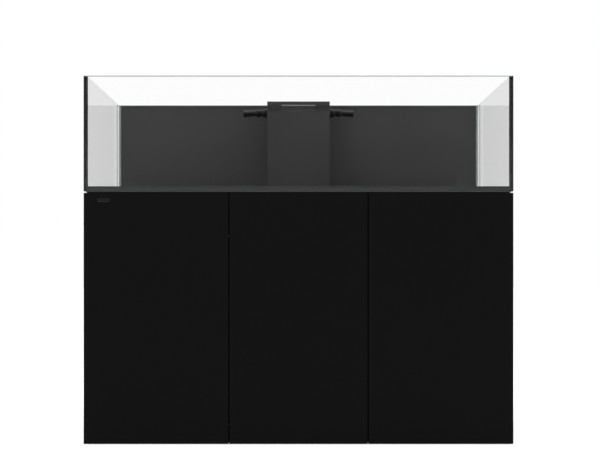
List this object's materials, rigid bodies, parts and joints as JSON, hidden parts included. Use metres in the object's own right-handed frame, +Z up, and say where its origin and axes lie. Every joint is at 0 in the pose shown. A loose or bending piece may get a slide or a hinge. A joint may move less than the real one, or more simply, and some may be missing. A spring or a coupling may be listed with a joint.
{
  "type": "aquarium on stand",
  "caption": "Long shallow rimless glass aquarium with a black back and central rear overflow box, on a black handleless three-door cabinet with a sump inside.",
  "frame": {"origin": "centre of the footprint, on the floor", "axes": "+X to the right seen from the front, -Y is the front, +Z up"},
  "size_m": [1.5, 0.7, 1.287],
  "materials": {
    "black_laminate": "satin black laminate on board",
    "clear_glass": "clear low-iron glass, polished edges",
    "black_silicone": "cured black silicone",
    "black_film": "black backing film",
    "foam": "closed-cell foam",
    "black_acrylic": "polished black acrylic",
    "black_pvc": "moulded black PVC",
    "grey_pvc": "moulded dark grey PVC",
    "red_plastic": "moulded red plastic",
    "hinge_steel": "nickel plated pressed steel",
    "latch_plastic": "moulded grey plastic",
    "badge_metal": "brushed dark aluminium",
    "felt": "white needled felt"
  },
  "bodies": {
    "stand_and_tank": {"side_panel_left": "black_laminate", "side_panel_right": "black_laminate", "divider_panel": "black_laminate", "front_post": "black_laminate", "worktop_panel": "black_laminate", "floor_panel": "black_laminate", "top_rails": "black_laminate", "back_panels": "black_laminate", "front_pane": "clear_glass", "back_pane": "clear_glass", "left_pane": "clear_glass", "right_pane": "clear_glass", "floor_pane": "clear_glass", "sump_panes": "clear_glass", "sump_baffles": "clear_glass", "corner_seals": "black_silicone", "floor_seal": "black_silicone", "background_film": "black_film", "foam_mats": "foam", "overflow_walls": "black_acrylic", "sock_plate": "black_acrylic", "cable_grommet": "black_pvc", "leveling_feet": "black_pvc", "drain_standpipe": "black_pvc", "emergency_standpipe": "black_pvc", "return_manifold": "black_pvc", "nozzle_bases": "black_pvc", "pump_motor": "black_pvc", "pump_volute": "black_pvc", "bulkheads": "grey_pvc", "main_drain_pipe": "grey_pvc", "emergency_drain_pipe": "grey_pvc", "return_pipe": "grey_pvc", "gate_valve_body": "grey_pvc", "ball_valve_body": "grey_pvc", "hinge_arms": "hinge_steel", "latch_bodies": "latch_plastic"},
    "left_leaf": {"left_door": "black_laminate", "badge_plate": "badge_metal", "left_hinge_cups": "hinge_steel", "left_latch_strike": "hinge_steel"},
    "middle_leaf": {"middle_door": "black_laminate", "middle_hinge_cups": "hinge_steel", "middle_latch_strike": "hinge_steel"},
    "right_leaf": {"right_door": "black_laminate", "right_hinge_cups": "hinge_steel", "right_latch_strike": "hinge_steel"},
    "left_plunger": {"left_latch_plunger": "latch_plastic"},
    "middle_plunger": {"middle_latch_plunger": "latch_plastic"},
    "right_plunger": {"right_latch_plunger": "latch_plastic"},
    "comb": {"weir_comb": "black_acrylic"},
    "lid": {"overflow_lid": "black_acrylic"},
    "left_swivel": {"left_nozzle_segment": "black_pvc"},
    "left_tip": {"left_nozzle": "black_pvc"},
    "right_swivel": {"right_nozzle_segment": "black_pvc"},
    "right_tip": {"right_nozzle": "black_pvc"},
    "drain_wheel": {"gate_valve_wheel": "red_plastic"},
    "return_lever": {"ball_valve_lever": "red_plastic"},
    "front_sock": {"filter_sock_front": "felt"},
    "rear_sock": {"filter_sock_rear": "felt"}
  },
  "joints": [
    {"name": "left_door_swing", "type": "hinge", "parent": "stand_and_tank", "child": "left_leaf", "pos_m": [-0.742, -0.342, 0.43], "axis": [0, 0, -1], "range_deg": [0, 90]},
    {"name": "middle_door_swing", "type": "hinge", "parent": "stand_and_tank", "child": "middle_leaf", "pos_m": [-0.2335, -0.342, 0.43], "axis": [0, 0, -1], "range_deg": [0, 90]},
    {"name": "right_door_swing", "type": "hinge", "parent": "stand_and_tank", "child": "right_leaf", "pos_m": [0.742, -0.342, 0.43], "axis": [0, 0, 1], "range_deg": [0, 90]},
    {"name": "left_latch_push", "type": "slide", "parent": "stand_and_tank", "child": "left_plunger", "axis": [0, -1, 0], "range_m": [0, 0.02]},
    {"name": "middle_latch_push", "type": "slide", "parent": "stand_and_tank", "child": "middle_plunger", "axis": [0, -1, 0], "range_m": [0, 0.02]},
    {"name": "right_latch_push", "type": "slide", "parent": "stand_and_tank", "child": "right_plunger", "axis": [0, -1, 0], "range_m": [0, 0.02]},
    {"name": "comb_lift", "type": "slide", "parent": "stand_and_tank", "child": "comb", "axis": [0, 0, 1], "range_m": [0, 0.06]},
    {"name": "lid_lift", "type": "slide", "parent": "stand_and_tank", "child": "lid", "axis": [0, 0, 1], "range_m": [0, 0.1]},
    {"name": "left_nozzle_turn", "type": "hinge", "parent": "stand_and_tank", "child": "left_swivel", "pos_m": [-0.139, 0.267, 1.244], "axis": [0, 0, 1], "range_deg": [-20, 20]},
    {"name": "left_nozzle_tilt", "type": "hinge", "parent": "left_swivel", "child": "left_tip", "pos_m": [-0.165, 0.267, 1.244], "axis": [0, 1, 0], "range_deg": [-20, 20]},
    {"name": "right_nozzle_turn", "type": "hinge", "parent": "stand_and_tank", "child": "right_swivel", "pos_m": [0.139, 0.267, 1.244], "axis": [0, 0, 1], "range_deg": [-20, 20]},
    {"name": "right_nozzle_tilt", "type": "hinge", "parent": "right_swivel", "child": "right_tip", "pos_m": [0.165, 0.267, 1.244], "axis": [0, 1, 0], "range_deg": [-20, 20]},
    {"name": "drain_wheel_turn", "type": "hinge", "parent": "stand_and_tank", "child": "drain_wheel", "pos_m": [-0.08, 0.2, 0.77], "axis": [0, -1, 0], "range_deg": [-1080, 1080]},
    {"name": "return_lever_turn", "type": "hinge", "parent": "stand_and_tank", "child": "return_lever", "pos_m": [0.6, 0.229, 0.6], "axis": [0, 1, 0], "range_deg": [0, 90]},
    {"name": "front_sock_lift", "type": "slide", "parent": "stand_and_tank", "child": "front_sock", "axis": [0, 0, 1], "range_m": [0, 0.26]},
    {"name": "rear_sock_lift", "type": "slide", "parent": "stand_and_tank", "child": "rear_sock", "axis": [0, 0, 1], "range_m": [0, 0.26]}
  ],
  "couplings": [
    {"joint": "left_latch_push", "follows": "left_door_swing", "m_per_rad": 0.01272},
    {"joint": "middle_latch_push", "follows": "middle_door_swing", "m_per_rad": 0.01272},
    {"joint": "right_latch_push", "follows": "right_door_swing", "m_per_rad": 0.01272}
  ]
}
